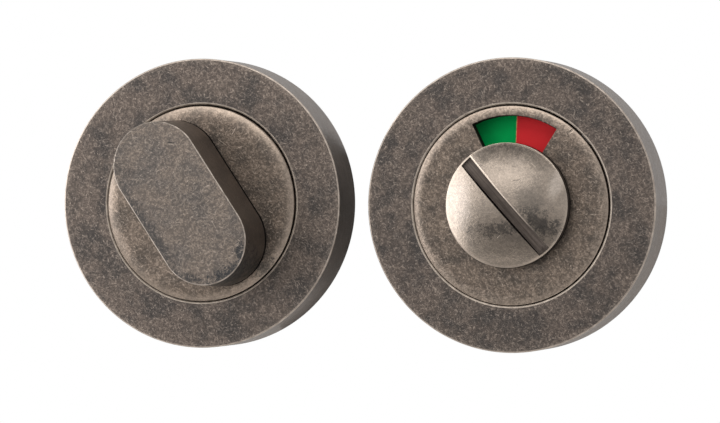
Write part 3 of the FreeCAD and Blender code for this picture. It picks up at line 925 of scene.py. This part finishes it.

# %% [markdown]
# ## The coin release
#
# The button is a low dome with a straight side. Its slot is deep enough for a coin's edge, lies a
# little off the middle, and stops just short of the rim, which closes both its ends. Its left wall,
# which faces away from the light, is dull black as painted shade, and so is the band below the
# button's side, which stands for the gap there. The neck behind has two flats that drive the
# indicator disc, and a square socket for the spindle's end.

# %% Dome and neck
button_top, button_rim, button_base, shade_base = 14.40, 12.93, 11.35, 10.60
button_radius = 10.54
dome = arc((button_radius, button_rim), (button_radius, button_top - button_rim), 22)[:-1]
button = turned(
    "coin_button",
    [(10.30, shade_base), (button_radius, shade_base + 0.2), (button_radius, button_base), *dome,
     (0.001, button_top)],
    end="dome",
)
combine(button, turned("over_bush", [(7.2, 10.0), (7.2, button_base)], end="flat"))
give(button, [button_pewter, worn_edge, milled, deep_shade, painted_side_shade])
# painted shade: the band below the button's side is dull black and stands for the gap
metal_where(button, 3, lambda r, out, spot, normal: out < button_base)
# painted shade on the button's side
metal_where(button, 4, lambda r, out, spot, normal: button_base < out < button_rim and r > 10)
wear(button, lambda r, out, x, z: near(r, button_radius) and near(out, button_rim), 0.05)
combine(button, neck("release_neck", button_base + 0.5, (4.35, 5.25)), "UNION")
for side in (-1, 1):
    combine(button, block(sorted((side * 4.2, side * 6)), (0, 7.7), (-6, 6)))
combine(button, block((-2.55, 2.55), (0, 9.4), (-2.55, 2.55)))

# %% Coin slot
slot_middle, slot_half, slot_floor = -0.33, 1.05, 12.40
cutter = block((slot_middle - slot_half, slot_middle + slot_half), (slot_floor, 16), (-12, 12))
combine(cutter, turned("inside_rim", [(10.24, 12), (10.24, 17)], end="flat"), "INTERSECT")
combine(button, cutter)
metal_where(button, 2, lambda r, out, spot, normal: (
    abs(spot.x - slot_middle) < slot_half + 0.01 and out > slot_floor - 0.01 and r < 10.3
    and (abs(normal.y) < 0.01 or near(out, slot_floor))))
# painted shade on the slot's left wall
metal_where(button, 3, lambda r, out, spot, normal: (
    normal.x > 0.9 and near(spot.x, slot_middle - slot_half) and out > slot_floor and r < 10.3))
settle(button, "release_button", lean=slot_lean, x=release_x)

# %% [markdown]
# ## The spindle
#
# A square steel bar goes through the door and works the lock's follower. Its free end is chamfered
# so that it finds the follower, and its long edges are slightly round from drawing.

# %% Model the spindle
spindle = block((-2.5, 2.5), (-60, 16.8), (-2.5, 2.5))
spindle.name = spindle.data.name = "spindle_bar"
give(spindle, [zinc_plate, zinc_plate])
wear(spindle, lambda r, out, x, z: near(out, -60), 0.6, segments=1)
bar_corner = math.hypot(2.5, 2.5)
wear(spindle, lambda r, out, x, z: -59.5 < out and near(r, bar_corner, 0.1) or near(out, -59.4), 0.12)
settle(spindle, "turn_spindle", lean=turn_lean)

# %% [markdown]
# ## Bearings, washers and clips
#
# These are the parts that a fitter sees when the rose is turned over: nylon bushes, a dished spring
# washer that takes up the play, a plain washer and an open clip. The round ones are turned from
# their sections. The clips keep the solid's outline: a copy is merged and its edges are rounded.

# %% Bushes and washers
def washer(name, node, metal, radii, heights, x, dish=0.0):
    (inner, outer), (low, high) = radii, heights
    section = [(inner, low - dish), (outer, low), (outer, high), (inner, high - dish), (inner, low - dish)]
    piece = give(turned(name, section, sides=128), [metal, metal])
    wear(piece, lambda r, out, px, pz: near(r, outer), 0.05, segments=1)
    return settle(piece, node, x=x)


def bush(name, node, low, flat, x):
    section = [(5.05, low), (6.2, low), (6.2, flat), (7, flat), (7, flat + 0.8), (5.05, flat + 0.8),
               (5.05, low)]
    piece = give(turned(name, section, sides=128), [nylon, nylon])
    wear(piece, lambda r, out, px, pz: near(r, 7) and near(out, flat + 0.8), 0.08)
    return settle(piece, node, x=x)


bush("inside_bush", "turn_bush", 4, 10.9, 0)
bush("outside_bush", "release_bush", 8.05, 10.45, release_x)
for half, node, top, x in (("inside", "turn", 3.95, 0), ("outside", "release", 6.5, release_x)):
    washer(f"{half}_spring_washer", f"{node}_spring_washer", spring_metal,
           (5.25, 8.5), (top - 0.4, top), x, dish=0.4)
    washer(f"{half}_plain_washer", f"{node}_plain_washer", zinc_plate,
           (5.25, 8.0), (top - 0.8 - 0.5, top - 0.8), x)
washer("thrust_washer", "release_thrust_washer", nylon, (5.25, 8.2), (7.7, 8.0), release_x)

# %% Clips, and the solids that stay
def rounded_clip(name, node):
    piece = twin(frame["nodes"][node], name)
    piece.parent = None
    piece.data.materials.clear()
    give(piece, [spring_metal, spring_metal])
    edit_edges(piece)
    bpy.ops.mesh.select_all(action="SELECT")
    bpy.ops.mesh.remove_doubles(threshold=1e-6)
    bpy.ops.object.mode_set(mode="OBJECT")
    rounding = piece.modifiers.new("rounding", "BEVEL")
    rounding.width = 0.06 * MM
    rounding.segments = 2
    rounding.limit_method = "ANGLE"
    rounding.angle_limit = math.radians(50)
    bpy.ops.object.modifier_apply(modifier=rounding.name)
    return settle(piece, node)


rounded_clip("inside_clip", "turn_retaining_clip")
rounded_clip("outside_clip", "release_retaining_clip")
for node, metal in (("turn_spindle_pin", zinc_plate), ("indicator_disc", brass),
                    ("indicator_green_foil", green), ("indicator_red_foil", red)):
    stays = frame["nodes"][node].data.materials
    stays.clear()
    stays.append(metal)
    print(f"{node} keeps its solid")

# %% [markdown]
# ## Light, floor and background
#
# Polished metal shows what is round it, so the light is mostly a matter of where the soft boxes
# stand: a tall one on the left and one above, which catch the rounded edges there, and a white room
# all round for the flats. Dark cards give the metal something to mirror where the photo is deep:
# one low in front, a small one between the roses, and flat rings just behind their outlines for the
# walls. The small one and the rings are painted shade that stands for the shadowed ground between
# and round the roses. They glow a little, which sets how dark they look. The camera never sees a
# card. The floor is a plain pale sheet well below the pair.

# %% Soft boxes
def softbox(name, azimuth, elevation, distance, size, radiance, tint=(1, 1, 1)):
    """A rectangle of light that faces the pair. Azimuth is from the front, negative to the left."""
    data = bpy.data.lights.new(name, "AREA")
    data.color = tint
    data.shape = "RECTANGLE"
    data.size, data.size_y = size
    data.energy = radiance * math.pi * size[0] * size[1]
    lamp = bpy.data.objects.new(name, data)
    a, e = math.radians(azimuth), math.radians(elevation)
    towards = (math.sin(a) * math.cos(e), -math.cos(a) * math.cos(e), math.sin(e))
    lamp.location = [c * distance for c in towards]
    lamp.location.x += release_x * MM / 2
    lamp.rotation_euler = (math.pi / 2 - e, 0, a)
    lamp.visible_camera = False
    bpy.context.scene.collection.objects.link(lamp)
    return lamp


softbox("left_box", -70, 4, 0.75, (1.15, 0.80), 3.2, tint=(0.985, 0.99, 1.0))
softbox("top_box", -8, 58, 0.75, (1.10, 0.60), 2.8, tint=(1.0, 0.98, 0.95))
softbox("front_box", -10.5, 17, 0.85, (0.36, 0.24), 1.62)
print("three soft boxes")

# %% Dark cards
def felt_card(sheet, shade, dust):
    """Covers a card in dull felt, and keeps it out of the picture."""
    give(sheet, [moulded(sheet.name + "_felt", shade, dust, 40.0, 0.9, shine=0.0)])
    sheet.visible_camera = False
    return sheet


def card(name, azimuth, elevation, distance, size, shade):
    """A sheet that only the metal sees: it keeps the edges that face it deep."""
    a, e = math.radians(azimuth), math.radians(elevation)
    bpy.ops.object.select_all(action="DESELECT")
    bpy.ops.mesh.primitive_plane_add(
        size=1,
        location=(
            release_x * MM / 2 + distance * math.sin(a) * math.cos(e),
            -distance * math.cos(a) * math.cos(e),
            distance * math.sin(e),
        ),
        rotation=(math.pi / 2 - e, 0, a),
    )
    sheet = bpy.context.object
    sheet.name = name
    sheet.scale = (*size, 1)
    return felt_card(sheet, shade, [c * 0.8 for c in shade])


card("low_card", -8, -17, 0.50, (0.50, 0.21), (0.40, 0.40, 0.40))
# painted shade between the two roses, seen only in the metal
gap_shade_card = card("gap_shade_card", 0, 0, -0.0006, (0.0080, 0.040), (0.16, 0.155, 0.15))
gap_shade_card.location.z -= 0.004


# %% Shade behind the walls
def glow(sheet, strength):
    shader = sheet.data.materials[0].node_tree.nodes["Principled BSDF"]
    shader.inputs["Emission Color"].default_value = (1, 0.97, 0.94, 1)
    shader.inputs["Emission Strength"].default_value = strength


def shade_behind(name, x, back, strength, *cuts):
    """A flat ring of card just outside a rose's outline; cuts keep one side of a plane each."""
    sheet = turned(name, [(25.0, -back), (28.5, -back)])
    for angle, side in cuts:
        keep_side(sheet, angle, side)
    select_only(sheet)
    sheet.location.x = x * MM
    bpy.ops.object.transform_apply(location=True)
    felt_card(sheet, (0.16, 0.155, 0.15), (0.13, 0.125, 0.12))
    glow(sheet, strength)
    sheet.visible_shadow = sheet.visible_diffuse = False


# the glow sets how bright the painted shade looks in the walls
glow(gap_shade_card, 0.12)
shade_behind("inside_shade", 0, 0.9, 0.68, (90, 1))
shade_behind("outside_shade", release_x, 0.9, 0.68, (90, 1))
shade_behind("between_shade", 0, 0.7, 0.22, (75, 1), (28, -1))

# %% White room, softer for the light that it casts
world = bpy.data.worlds.new("white_room")
bpy.context.scene.world = world
world.use_nodes = True
room = world.node_tree
path = put(room, "LightPath").outputs
mirrored = maths(room, "MAXIMUM", path["Is Glossy Ray"], path["Is Transmission Ray"])
seen = maths(room, "MAXIMUM", path["Is Camera Ray"], mirrored)
room_shader = room.nodes["Background"]
room_shader.inputs["Color"].default_value = (1, 1, 1, 1)
room.links.new(maths(room, "MULTIPLY_ADD", seen, 0.45, 0.55), room_shader.inputs["Strength"])

# %% Floor
bpy.ops.object.select_all(action="DESELECT")
bpy.ops.mesh.primitive_plane_add(size=1, location=(release_x * MM / 2, 0.17, -0.09))
floor = bpy.context.object
floor.name = "floor"
floor.scale = (1.4, 0.66, 1)
bpy.ops.object.transform_apply(location=True, scale=True)
paper = moulded("floor_paper", (0.84, 0.835, 0.825), (0.80, 0.795, 0.785), 60.0, 0.75)
floor.data.materials.append(paper)
